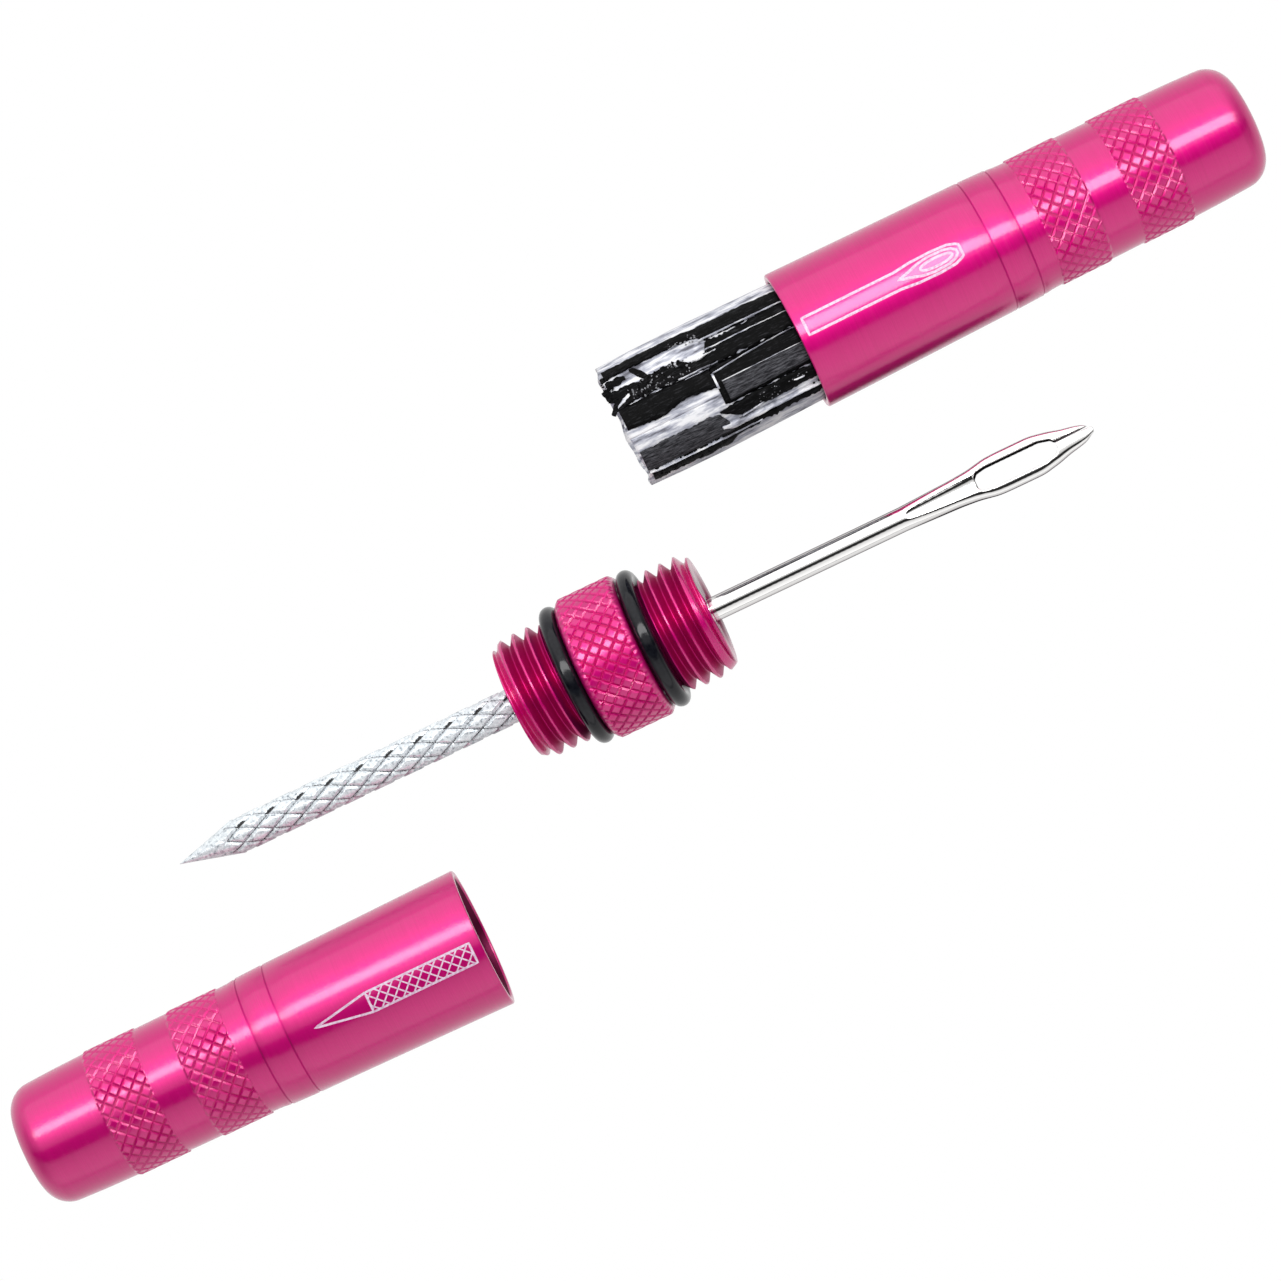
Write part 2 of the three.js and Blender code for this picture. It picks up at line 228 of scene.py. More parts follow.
def ramp_node(nodes, links, value, stops):
    ramp = nodes.new("ShaderNodeValToRGB")
    elements = ramp.color_ramp.elements
    while len(elements) < len(stops):
        elements.new(0.5)
    for element, (position, colour) in zip(elements, stops):
        element.position = position
        element.color = (*colour, 1)
    links.new(value, ramp.inputs["Fac"])
    return ramp.outputs["Color"]


def range_node(nodes, links, value, low, high, start=0.0, end=1.0):
    """Carry a value from start...end over to low...high."""
    spread = nodes.new("ShaderNodeMapRange")
    for name, number in (("From Min", start), ("From Max", end), ("To Min", low), ("To Max", high)):
        spread.inputs[name].default_value = number
    links.new(value, spread.inputs["Value"])
    return spread.outputs["Result"]


def math_node(nodes, links, operation, *values):
    node = nodes.new("ShaderNodeMath")
    node.operation = operation
    for value, socket in zip(values, node.inputs):
        links.new(value, socket)
    return node.outputs["Value"]


def vary(nodes, links, shader, value, stops=None, roughness=None, bump=None):
    """Let a pattern drive the colour (stops), the roughness (low, high) and a bump (strength, metres)."""
    if stops:
        links.new(ramp_node(nodes, links, value, stops), shader.inputs["Base Color"])
    if roughness:
        links.new(range_node(nodes, links, value, *roughness), shader.inputs["Roughness"])
    if bump:
        node = nodes.new("ShaderNodeBump")
        node.inputs["Strength"].default_value, node.inputs["Distance"].default_value = bump
        links.new(value, node.inputs["Height"])
        links.new(node.outputs["Normal"], shader.inputs["Normal"])
        return node.outputs["Normal"]


def anodised_aluminium():
    """Dyed anodised aluminium: a clear skin over a dull dyed one, with the fine rings of the lathe tool."""
    material, nodes, links, shader = new_material("magenta_anodised")
    rings = pattern(nodes, links, "UV", (0.8, 34, 1), 6, 4, 0.7)
    passes = pattern(nodes, links, "UV", (1.6, 7, 1), 5, 3, 0.65)
    stops = [(0.3, (0.52, 0.0022, 0.145)), (0.7, (0.64, 0.0045, 0.196))]
    normal = vary(nodes, links, shader, rings, stops, (0.3, 0.6), (0.3, 0.00004))
    links.new(normal, shader.inputs["Coat Normal"])
    shader.inputs["Metallic"].default_value = 0.7
    shader.inputs["Specular IOR Level"].default_value = 0.0
    shader.inputs["Coat Weight"].default_value = 1.0
    shader.inputs["Coat IOR"].default_value = 1.58
    links.new(range_node(nodes, links, passes, -0.14, 0.4), shader.inputs["Coat Roughness"])
    return material


def dull_shaded_magenta(name, colour):
    """Dyed metal that the cutter has left dull, in a darker copy of the anodised colour that paints shade."""
    material, nodes, links, shader = new_material(name)
    shader.inputs["Base Color"].default_value = (*colour, 1)
    shader.inputs["Roughness"].default_value = 0.4
    shader.inputs["Metallic"].default_value = 0.8
    return material


def chrome_plate():
    material, nodes, links, shader = new_material("chrome_plate")
    scuffs = pattern(nodes, links, "Object", (60, 900, 900), 5, 3)
    vary(nodes, links, shader, scuffs, None, (0.04, 0.13), (0.05, 0.00002))
    shader.inputs["Base Color"].default_value = (0.92, 0.91, 0.9, 1)
    # The dark edge tint darkens the chrome at grazing angles: painted shade along the needle's outline.
    shader.inputs["Specular Tint"].default_value = (0.2, 0.16, 0.18, 1)
    shader.inputs["Metallic"].default_value = 1.0
    return material


def bright_steel():
    material, nodes, links, shader = new_material("bright_cut_steel")
    grain = pattern(nodes, links, "Object", FINE_GRAIN, 3, 4)
    stops = [(0.3, (0.22, 0.25, 0.28)), (0.42, (0.56, 0.6, 0.63)), (0.7, (0.74, 0.78, 0.8))]
    vary(nodes, links, shader, grain, stops, (0.12, 0.4), (0.3, 0.00008))
    shader.inputs["Metallic"].default_value = 0.25
    shader.inputs["Specular IOR Level"].default_value = 0.3
    return material


def cut_line(name, dark, light):
    """Painted shadow with grime at the bottom of the rasp's cuts; also the painted shade on the deeper cuts.
    """
    material, nodes, links, shader = new_material(name)
    patches = pattern(nodes, links, "Object", FINE_GRAIN, 2.5, 3)
    vary(nodes, links, shader, patches, [(0.4, dark), (0.6, light)])
    shader.inputs["Roughness"].default_value = 0.5
    return material


def ring_rubber():
    material, nodes, links, shader = new_material("ring_rubber")
    cloud = pattern(nodes, links, "Object", (700, 700, 700), 3, 4)
    stops = [(0.3, (0.002, 0.002, 0.004)), (0.75, (0.007, 0.008, 0.011))]
    vary(nodes, links, shader, cloud, stops, (0.06, 0.2), (0.2, 0.00005))
    shader.inputs["Specular IOR Level"].default_value = 0.32
    return material


def plug_rubber(name, dark, light, gloss, sheen_streak_range):
    """Tacky repair rubber, drawn out lengthwise, with lighter streaks that are partly painted sheen; UV runs
    across and along each strip in millimetres.
    """
    material, nodes, links, shader = new_material(name)
    streaks_and_sheen = pattern(nodes, links, "UV", (2.6, 0.35, 1), 2.2, 6, 0.7)
    # The light end of the streaks is partly a painted glossy sheen.
    stops = [(sheen_streak_range[0], dark), (sheen_streak_range[1], light)]
    vary(nodes, links, shader, streaks_and_sheen, stops, (gloss, gloss + 0.3), (0.6, 0.00012))
    shader.inputs["Specular IOR Level"].default_value = 0.07
    return material


def backing_film():
    """Pale film, with grey smears where rubber has rubbed off on it."""
    material, nodes, links, shader = new_material("backing_film")
    smeared = pattern(nodes, links, "UV", (0.9, 0.16, 1), 1.6, 6, 0.6)
    stops = [(0.42, (0.66, 0.66, 0.68)), (0.53, (0.33, 0.34, 0.4)), (0.64, (0.08, 0.08, 0.1))]
    vary(nodes, links, shader, smeared, stops, (0.25, 0.5), (0.3, 0.0001))
    return material


def engraved_white():
    """Where the laser has burnt the dye out of the anodised layer."""
    material, nodes, links, shader = new_material("engraved_white")
    speckle = pattern(nodes, links, "Object", FINE_GRAIN, 4, 2)
    vary(nodes, links, shader, speckle, [(0.3, (0.5, 0.28, 0.43)), (0.65, (0.68, 0.53, 0.66))])
    shader.inputs["Roughness"].default_value = 0.6
    return material


ANODISED = anodised_aluminium()
# Painted shade: a darker magenta for the thread flanks and for the shaded side of each fine line on the caps.
GROOVE_SHADE_MAGENTA = dull_shaded_magenta("magenta_painted_groove_shade", (0.42, 0.0025, 0.125))
CUT_LINE = cut_line("rasp_cut_line", (0.01, 0.01, 0.014), (0.26, 0.27, 0.3))
# Painted shade: near black on the deeper cuts between the listed angles.
DEEP_CUT_SHADE = cut_line("rasp_deep_cut_shade", (0.004, 0.004, 0.005), (0.01, 0.01, 0.012))
# Painted shade: near-black magenta for the inside of each cap's mouth, thread and bore.
CAP_BORE_PAINTED_SHADE = dull_shaded_magenta("magenta_bore_painted_shade", (0.1, 0.001, 0.03))
CHROME = chrome_plate()
STEEL = bright_steel()
RING_RUBBER = ring_rubber()
STRIP_RUBBER = plug_rubber("plug_rubber", (0.0005, 0.0005, 0.0007), (0.05, 0.05, 0.056), 0.4, (0.54, 0.8))
GREY_RUBBER = plug_rubber("plug_rubber_dusty", (0.01, 0.01, 0.012), (0.1, 0.1, 0.112), 0.5, (0.42, 0.7))
CRUMB_RUBBER = plug_rubber("plug_rubber_crumbs", (0.05, 0.05, 0.055), (0.3, 0.3, 0.32), 0.4, (0.4, 0.6))
FILM = backing_film()
ENGRAVED = engraved_white()

# ---------- hub and O-rings

COLLAR_RADIUS = 8.0
COLLAR_EDGE = 3.45
COLLAR_CHAMFER = 0.6
COLLAR_DIAMONDS = 32
COLLAR_KNURL_PITCH = 1.55
KNURL_SAMPLES = 12
KNURL_STEEPNESS = 2.9
KNURL_DEPTH = 0.2
GROOVE_RADIUS = 5.8
THREAD_START = 5.5
THREAD_END = 11.35
THREAD_PITCH = 1.6
THREAD_CREST = 6.8
THREAD_ROOT = 5.72
THREAD_CHAMFER = 0.72
THREAD_LEAD = 1.3
REAMER_SIDE_PHASE = 0.28
NEEDLE_RADIUS = 1.3
RASP_RADIUS = 1.9
SOCKET_DEPTH = 5.0


def outside_thread(x, angles):
    """Radius of a right-hand V thread round a station."""
    phase = 0.0 if x > 0 else REAMER_SIDE_PHASE
    turn = (x / THREAD_PITCH - phase + angles / TAU) % 1
    flank = np.clip(ridge(turn) * 1.22 - 0.1, 0, 1)
    near = abs(x)
    envelope = THREAD_CREST
    envelope -= max(0, THREAD_CHAMFER - (near - THREAD_START))
    envelope -= max(0, THREAD_LEAD - (THREAD_END - near)) * THREAD_CHAMFER / THREAD_LEAD
    return np.minimum(THREAD_ROOT + (THREAD_CREST - THREAD_ROOT) * flank, envelope)


def knurl(x, angles, diamonds, pitch, depth):
    """How far the pyramids of a diamond knurl stand up, from 0 in the grooves to depth at the points."""
    across = angles * diamonds / TAU
    left = ridge(across + x / pitch)
    right = ridge(across - x / pitch)
    return depth * np.minimum(np.minimum(left, right) * KNURL_STEEPNESS, 1)


def hub_relief(x, radius, angles):
    near = abs(x)
    if THREAD_START < near < THREAD_END and radius > GROOVE_RADIUS - 0.5:
        return outside_thread(x, angles)
    if near < COLLAR_EDGE - COLLAR_CHAMFER + 0.3 and radius > COLLAR_RADIUS - 0.5:
        top = min(radius, COLLAR_RADIUS)
        return top - KNURL_DEPTH + knurl(x, angles, COLLAR_DIAMONDS, COLLAR_KNURL_PITCH, KNURL_DEPTH)
    return np.full(len(angles), radius)


def hub():
    collar_flat = COLLAR_EDGE - COLLAR_CHAMFER
    knurl_step = COLLAR_KNURL_PITCH / KNURL_SAMPLES
    thread_step = 0.07
    half = [
        (collar_flat, COLLAR_RADIUS),
        (COLLAR_EDGE - 0.25, COLLAR_RADIUS - 0.3),
        (COLLAR_EDGE, COLLAR_RADIUS - COLLAR_CHAMFER),
        (COLLAR_EDGE, COLLAR_RADIUS - COLLAR_CHAMFER - 0.05),
        (COLLAR_EDGE, GROOVE_RADIUS + 0.1),
        (COLLAR_EDGE + 0.1, GROOVE_RADIUS),
        (THREAD_START - 0.01, GROOVE_RADIUS),
    ]
    thread = stretch((THREAD_START + 0.01, THREAD_CREST), (THREAD_END - 0.01, THREAD_CREST), thread_step)
    end_radius = THREAD_CREST - THREAD_CHAMFER

    def face(socket):
        return [
            (THREAD_END - 0.01, end_radius),
            (THREAD_END, end_radius - 0.05),
            (THREAD_END, socket + 0.36),
            (THREAD_END - 0.04, socket + 0.3),
            (THREAD_END - 0.3, socket),
            (THREAD_END - SOCKET_DEPTH, socket),
        ]

    def side(socket):
        return half + thread + face(socket)

    left = [(-x, radius) for x, radius in side(RASP_RADIUS + 0.05)][::-1]
    middle = stretch((-collar_flat, COLLAR_RADIUS), (collar_flat, COLLAR_RADIUS), knurl_step)[1:]
    stations = left + middle + side(NEEDLE_RADIUS + 0.05)
    columns = COLLAR_DIAMONDS * KNURL_SAMPLES

    def knurled(x, radius):
        return abs(x) < collar_flat and radius > COLLAR_RADIUS - 0.5

    obj = turned_object("hub_turned", tool, stations, columns, hub_relief, knurled)
    finish_piece(obj, "tool", "anodised_aluminium", ANODISED, "hub")

    def on_shaded_flank(point):
        along, out = along_and_out(tool, point)
        threaded = THREAD_START < abs(along) < THREAD_END - THREAD_LEAD
        return threaded and THREAD_ROOT - 0.2 < out < THREAD_CREST - 0.13

    # Painted shade on the flanks of the threads.
    paint_faces(obj, GROOVE_SHADE_MAGENTA, on_shaded_flank)


def o_ring(name, node, sign):
    ring_x, ring_radius, section = 4.48, 6.9, 0.92
    around, across = 160, 28
    u = np.arange(around)[:, None] * TAU / around
    v = np.arange(across)[None, :] * TAU / across
    radius = ring_radius + section * np.cos(v)
    x = sign * ring_x + section * np.sin(v) + 0 * u
    local = np.stack([x, radius * np.sin(u), radius * np.cos(u)], 2).reshape(-1, 3)
    faces = []
    for i in range(around):
        for j in range(across):
            a, b = (i + 1) % around, (j + 1) % across
            faces.append((i * across + j, i * across + b, a * across + b, a * across + j))
    obj = mesh_object(name, tool.points(local), faces)
    face_outwards(obj)
    finish_piece(obj, "tool", "ring_rubber", RING_RUBBER, node)


# ---------- rasp and needle

RASP_TIP = 51.4
RASP_CONE = 6.9
RASP_COLUMNS = 144
# Angles from the top between which the deeper cuts are painted near black as shade.
DEEP_CUT_SHADE_ANGLES = (31, 47)
RASP_STARTS = 6
RASP_PITCH = 3.5
RASP_DEPTH = 0.36
RASP_TOOTH_STEEPNESS = 2.6
RASP_LIGHT_CUT = 0.6
# Half widths of the painted shadow line in a cut and of the painted shade on a deep cut, as shares of half
# the cuts' spacing.
CUT_LINE_HALF = 0.07
DEEP_CUT_SHADE_HALF = 0.24


def rasp_relief(x, radius, angles):
    from_tip = RASP_TIP + x
    fade = np.clip((from_tip - RASP_CONE * 0.72) / 1.6, 0, 1)
    across = angles * RASP_STARTS / TAU
    left = ridge(across + x / RASP_PITCH)
    right = ridge(across - x / RASP_PITCH)
    deep = 1 - np.minimum(right * RASP_TOOTH_STEEPNESS, 1)
    light = (1 - np.minimum(left * RASP_TOOTH_STEEPNESS, 1)) * RASP_LIGHT_CUT
    tooth = 1 - np.maximum(deep, light)
    return radius - fade * RASP_DEPTH * (1 - tooth) * (radius / RASP_RADIUS)


def rasp():
    cone = path([(-RASP_TIP, 0.03), (-RASP_TIP + RASP_CONE, RASP_RADIUS)], 0.12)
    shaft = path([(-RASP_TIP + RASP_CONE, RASP_RADIUS), (-THREAD_END + 2.5, RASP_RADIUS)], 0.1)
    obj = turned_object("reamer_rasp_cut", tool, cone + shaft[1:], RASP_COLUMNS, rasp_relief)
    finish_piece(obj, "tool", "bright_steel", STEEL, "reamer_rasp")

    def cuts(point):
        """Whether a point is in the cut part, how far it is from each hand's nearest cut, and its angle."""
        away = Vector(point) - tool.origin
        x = away.dot(tool.x) / MM
        angle = math.atan2(away.dot(tool.y), away.dot(tool.z))
        across = angle * RASP_STARTS / TAU
        light, deep = ridge(across + x / RASP_PITCH), ridge(across - x / RASP_PITCH)
        return x + RASP_TIP > RASP_CONE * 0.85, light, deep, math.degrees(angle)

    def in_cut(point):
        cut, light, deep, angle = cuts(point)
        return cut and min(light, deep) < CUT_LINE_HALF

    def in_deep_cut_shade(point):
        cut, light, deep, angle = cuts(point)
        return cut and deep < DEEP_CUT_SHADE_HALF and DEEP_CUT_SHADE_ANGLES[0] < angle < DEEP_CUT_SHADE_ANGLES[1]

    # Painted shadow along the bottom of every cut.
    paint_faces(obj, CUT_LINE, in_cut)
    # Painted shade on the deeper cuts, only between the listed angles.
    paint_faces(obj, DEEP_CUT_SHADE, in_deep_cut_shade)


NEEDLE_ROLL = math.radians(-10)
# From where to where the round shank turns into the flat eye, and how square the flat part's section is.
FLAT_START = 33.6
FLAT_FULL = 38.5
FLAT_SQUARENESS = 3.4
NEEDLE_STATIONS = [
    (8.5, 1.3, 1.3), (33.5, 1.3, 1.3), (39.4, 1.5, 1.22), (41.6, 1.7, 1.12), (43.6, 2.1, 0.98),
    (45.0, 2.15, 0.95), (48.8, 2.15, 0.95), (50.9, 1.73, 0.9), (52.0, 1.39, 0.82), (53.8, 1.05, 0.62),
    (54.5, 0.8, 0.4), (54.95, 0.5, 0.2), (55.2, 0.2, 0.1),
]
FLUTE_STATIONS = [
    (33.9, 0.02), (34.0, 0.26), (34.25, 0.42), (34.8, 0.54), (36.5, 0.68), (39.0, 0.84), (41.0, 0.98),
    (42.4, 1.1),
]
EYE_START = 41.9
EYE_END = 51.2
EYE_HALF = 1.23
SLIT_WIDTH = 0.24
SLIT_OFFSET = 0.4
SLIT_START = EYE_END - 0.8
# How flat the cutter of a flute is, and how far its axis is from the needle's.
FLUTE_FLATNESS = 0.42
FLUTE_OFFSET = 1.3
# Half the height of the cutters that go right through.
CUTTER_HALF = 3
NEEDLE_COLUMNS = 64
NEEDLE_VOXEL = 0.07


def smooth_between(x, stations, column):
    xs = np.array([s[0] for s in stations])
    ys = np.array([s[column] for s in stations])
    fine = np.interp([x - 0.5, x - 0.25, x, x + 0.25, x + 0.5], xs, ys)
    return float(fine.mean())


def prism(name, place, outline, low, high):
    """A straight prism through the needle: outline in (x, y), from z = low to z = high."""
    count = len(outline)
    local = [(x, y, low) for x, y in outline] + [(x, y, high) for x, y in outline]
    faces = [tuple(range(count))[::-1], tuple(range(count, 2 * count))]
    for i in range(count):
        j = (i + 1) % count
        faces.append((i, j, count + j, count + i))
    obj = mesh_object(name, place.points(local), faces, smooth=False)
    face_outwards(obj)
    return obj


def cut_away(obj, cutter):
    modifier = obj.modifiers.new("cut", "BOOLEAN")
    modifier.operation = "DIFFERENCE"
    modifier.solver = "EXACT"
    modifier.object = cutter
    apply_modifiers(obj)
    bpy.data.objects.remove(cutter)


def apply_modifiers(obj):
    bpy.context.view_layer.update()
    graph = bpy.context.evaluated_depsgraph_get()
    mesh = bpy.data.meshes.new_from_object(obj.evaluated_get(graph))
    obj.modifiers.clear()
    obj.data = mesh


def needle():
    place = Place(tool.origin, tool.x, NEEDLE_ROLL)
    start, end = NEEDLE_STATIONS[0][0], NEEDLE_STATIONS[-1][0]
    xs = np.concatenate([np.linspace(start, 33, 40), np.linspace(33.2, end, 150)])
    stations = [(x, smooth_between(x, NEEDLE_STATIONS, 1)) for x in xs]
    stations.append((end + 0.1, 0.16))
    obj = turned_object("fork_needle_forged", place, stations, NEEDLE_COLUMNS)
    points = np.array([v.co for v in obj.data.vertices])
    basis = np.array([place.x, place.y, place.z])
    local = (points - np.array(place.origin)) @ basis.T / MM
    for point in local:
        wide = smooth_between(point[0], NEEDLE_STATIONS, 1)
        thick = smooth_between(point[0], NEEDLE_STATIONS, 2)
        squareness = np.interp(point[0], (FLAT_START, FLAT_FULL), (2, FLAT_SQUARENESS))
        radius = max(math.hypot(point[1], point[2]), 1e-6)
        across, up = point[1] / radius, point[2] / radius
        swell = (abs(across) ** squareness + abs(up) ** squareness) ** (-1 / squareness)
        point[1] = across * swell * radius
        point[2] = up * swell * radius * thick / wide
    obj.data.vertices.foreach_set("co", place.points(local).ravel())
    half_eye = [(EYE_START, 0.6), (EYE_START + 0.4, 1.05), (EYE_START + 1.5, EYE_HALF), (46.5, EYE_HALF),
                (EYE_END - 1.8, EYE_HALF), (EYE_END - 0.5, 0.9), (EYE_END, 0.35)]
    eye = half_eye + [(x, -y) for x, y in half_eye[::-1]]
    cut_away(obj, prism("eye_cutter", place, eye, -CUTTER_HALF, CUTTER_HALF))
    low, high = SLIT_OFFSET - SLIT_WIDTH / 2, SLIT_OFFSET + SLIT_WIDTH / 2
    slit = [(SLIT_START, low), (57, low), (57, high), (SLIT_START, high)]
    cut_away(obj, prism("slit_cutter", place, slit, -CUTTER_HALF, CUTTER_HALF))
    for side in (-1, 1):
        flute = turned_object("flute_cutter", place, FLUTE_STATIONS, 32)
        grooves = np.array([v.co for v in flute.data.vertices])
        local = (grooves - np.array(place.origin)) @ basis.T / MM
        local[:, 2] = local[:, 2] * FLUTE_FLATNESS + side * FLUTE_OFFSET
        flute.data.vertices.foreach_set("co", place.points(local).ravel())
        cut_away(obj, flute)
    remesh = obj.modifiers.new("remesh", "REMESH")
    remesh.mode = "VOXEL"
    remesh.voxel_size = NEEDLE_VOXEL * MM
    apply_modifiers(obj)
    soften = obj.modifiers.new("soften", "SMOOTH")
    soften.factor = 0.5
    soften.iterations = 9
    apply_modifiers(obj)
    obj.data.polygons.foreach_set("use_smooth", np.full(len(obj.data.polygons), True))
    finish_piece(obj, "tool", "chromed_needle", CHROME, "fork_needle")


# ---------- caps

CAP_DIAMONDS = 28
CAP_KNURL_PITCH = 1.52
CAP_KNURL_DEPTH = 0.15
CAP_BANDS = ((27.8, 33.6, 7.215), (37.4, 43.3, 7.155))
CAP_BORE = 6.35
CAP_RELIEF = 6.95
CAP_THREAD_END = 8.4
CAP_DRILL_DEPTH = 51.0
CAP_CORNER = 2.9
CAP_END_RADIUS = 6.74
# From where to where the shaded side of each fine line round the cap runs.
CAP_FINE_LINES = ((22.18, 22.38), (25.4, 25.6))


def cap_outside():
    """Corners of the outside from the mouth to the closed end, without the fine lines."""
    return [
        (0.0, 7.55), (0.05, 7.64), (0.15, 7.7), (22.18, 7.375), (22.38, 7.26), (22.58, 7.37),
        (25.4, 7.28), (25.6, 7.15), (25.8, 7.22), (26.5, 7.13), (27.7, 7.08),
    ]


def cap_stations():
    knurl_step = CAP_KNURL_PITCH / KNURL_SAMPLES
    inside = [(CAP_DRILL_DEPTH, 0.02), (49.6, 5.2), (42.0, 5.2), (42.0, CAP_BORE)]
    inside.append((CAP_THREAD_END + 0.2, CAP_BORE))
    bore = path(inside, 4.0)[:-1]
    thread = stretch((CAP_THREAD_END, CAP_BORE), (1.25, CAP_BORE), 0.09)
    mouth = [(1.2, CAP_BORE), (1.2, CAP_RELIEF), (0.2, CAP_RELIEF), (0.05, CAP_RELIEF + 0.06), (0.0, 7.1)]
    outside = path(cap_outside(), 2.5)
    (start_a, end_a, crest_a), (start_b, end_b, crest_b) = CAP_BANDS
    band_a = [(start_a, crest_a - CAP_KNURL_DEPTH)]
    band_a += stretch((start_a + 0.08, crest_a), (end_a - 0.08, crest_a - 0.01), knurl_step)
    band_a += [(end_a, crest_a - CAP_KNURL_DEPTH), (33.75, 7.06)]
    between = path([(34.6, 7.06), (37.3, 7.03)], 0.8)
    band_b = [(start_b, crest_b - CAP_KNURL_DEPTH)]
    band_b += stretch((start_b + 0.08, crest_b), (end_b - 0.08, crest_b - 0.005), knurl_step)
    band_b += [(end_b, crest_b - CAP_KNURL_DEPTH), (43.45, 6.98)]
    tail = path([(44.2, 6.96), (47, 6.88), (49.6, 6.76)], 1.0)
    end = []
    for i in range(1, 13):
        angle = i / 12 * math.pi / 2
        x = CAP_LENGTH - CAP_CORNER + CAP_CORNER * math.sin(angle)
        end.append((x, CAP_END_RADIUS - CAP_CORNER + CAP_CORNER * math.cos(angle)))
    return bore + thread + mouth + outside + band_a + between + band_b + tail + end


def knurled_cap(x, radius):
    return radius > 6.9 and any(start + 0.05 < x < end - 0.05 for start, end, crest in CAP_BANDS)


def cap_relief(x, radius, angles):
    if 1.2 < x <= CAP_THREAD_END and radius == CAP_BORE:
        turn = (x / THREAD_PITCH + angles / TAU) % 1
        return CAP_BORE + (CAP_RELIEF - CAP_BORE) * np.clip(ridge(turn) * 1.3 - 0.15, 0, 1)
    if knurled_cap(x, radius):
        return radius - CAP_KNURL_DEPTH + knurl(x, angles, CAP_DIAMONDS, CAP_KNURL_PITCH, CAP_KNURL_DEPTH)
    return np.full(len(angles), radius)


def cap(name, node, place):
    obj = turned_object(name, place, cap_stations(), CAP_DIAMONDS * KNURL_SAMPLES, cap_relief, knurled_cap)
    finish_piece(obj, node, "anodised_aluminium", ANODISED, node)

    def in_shaded_bore(point):
        along, out = along_and_out(place, point)
        wall = CAP_RELIEF if along < CAP_THREAD_END + 0.5 else CAP_BORE
        return 0.12 < along < CAP_DRILL_DEPTH and out < wall + 0.02

    def on_fine_line_shade(point):
        along, out = along_and_out(place, point)
        return out > CAP_RELIEF and any(start < along < end for start, end in CAP_FINE_LINES)

    # Painted shade over the cap's mouth, inner thread and bore.
    paint_faces(obj, CAP_BORE_PAINTED_SHADE, in_shaded_bore)
    # Painted shade on one side of each fine line.
    paint_faces(obj, GROOVE_SHADE_MAGENTA, on_fine_line_shade)


def cap_radius(x):
    corners = np.array(cap_outside())
    return np.interp(x, corners[:, 0], corners[:, 1])


# ---------- engraved outlines on the caps

LINE_LIFT = 0.012
LINE_DEPTH = 0.05
NEEDLE_LINE_WIDTH = 0.28
RASP_LINE_WIDTH = 0.24
HATCH_WIDTH = 0.15
HATCH_SPACING = 1.22


def engraved_lines(name, body, place, lines, width):
    """Lines drawn on a cap's skin as thin inlays; each line is a list of (distance, arc) in millimetres."""
    points, faces = [], []
    for line in lines:
        closed = line[0] == line[-1]
        fine = path(line, 0.3)
        fine = fine[:-1] if closed else fine
        count = len(fine)
        first = len(points)
        for i, here in enumerate(fine):
            before = fine[i - 1] if i or closed else here
            after = fine[(i + 1) % count] if i + 1 < count or closed else here
            along = np.array(after) - np.array(before)
            along = along / (np.linalg.norm(along) + 1e-9)
            across = np.array([-along[1], along[0]]) * width / 2
            for side, lift in ((1, LINE_LIFT), (-1, LINE_LIFT), (-1, -LINE_DEPTH), (1, -LINE_DEPTH)):
                x, arc = np.array(here) + side * across
                radius = cap_radius(x)
                angle = arc / radius
                points.append((x, (radius + lift) * math.sin(angle), (radius + lift) * math.cos(angle)))
        for i in range(count if closed else count - 1):
            a, b = first + 4 * i, first + 4 * ((i + 1) % count)
            faces += [(a + k, a + (k + 1) % 4, b + (k + 1) % 4, b + k) for k in range(4)]
        if not closed:
            a, b = first, first + 4 * (count - 1)
            faces += [(a + 3, a + 2, a + 1, a), (b, b + 1, b + 2, b + 3)]
    obj = mesh_object(name, place.points(points), faces, smooth=False)
    face_outwards(obj)
    finish_piece(obj, body, "anodised_aluminium", ENGRAVED)


def needle_icon():
    """A needle seen from its flat side: shaft, hollow in front of the eye, and the eye."""
    centre, start, neck, tip = 0.62, 1.0, 11.6, 19.0
    shaft, wide, blunt = 0.95, 1.22, 0.62
    upper = [(start, shaft), (neck, shaft), (neck + 2, wide - 0.05), (neck + 4.5, wide),
             (tip - 1.1, wide - 0.12), (tip - 0.3, wide - 0.4), (tip, blunt), (tip, 0)]
    outline = upper + [(x, -y) for x, y in upper[::-1]]
    hollow = [(neck + 0.15, 0), (neck + 1.4, 0.3), (neck + 2.7, 0.7), (neck + 4.0, 0.86), (tip - 1.7, 0.8),
              (tip - 0.9, 0.58), (tip - 0.45, 0.2)]
    hollow = hollow + [(x, -y) for x, y in hollow[:0:-1]]
    eye = []
    for i in range(24):
        angle = i / 24 * TAU
        eye.append((16.15 + 1.85 * math.cos(angle), 0.45 * math.sin(angle)))
    lines = [[(x, centre + y) for x, y in line + line[:1]] for line in (outline, hollow, eye)]
    engraved_lines("needle_outline", "fork_cap", fork_cap, lines, NEEDLE_LINE_WIDTH)


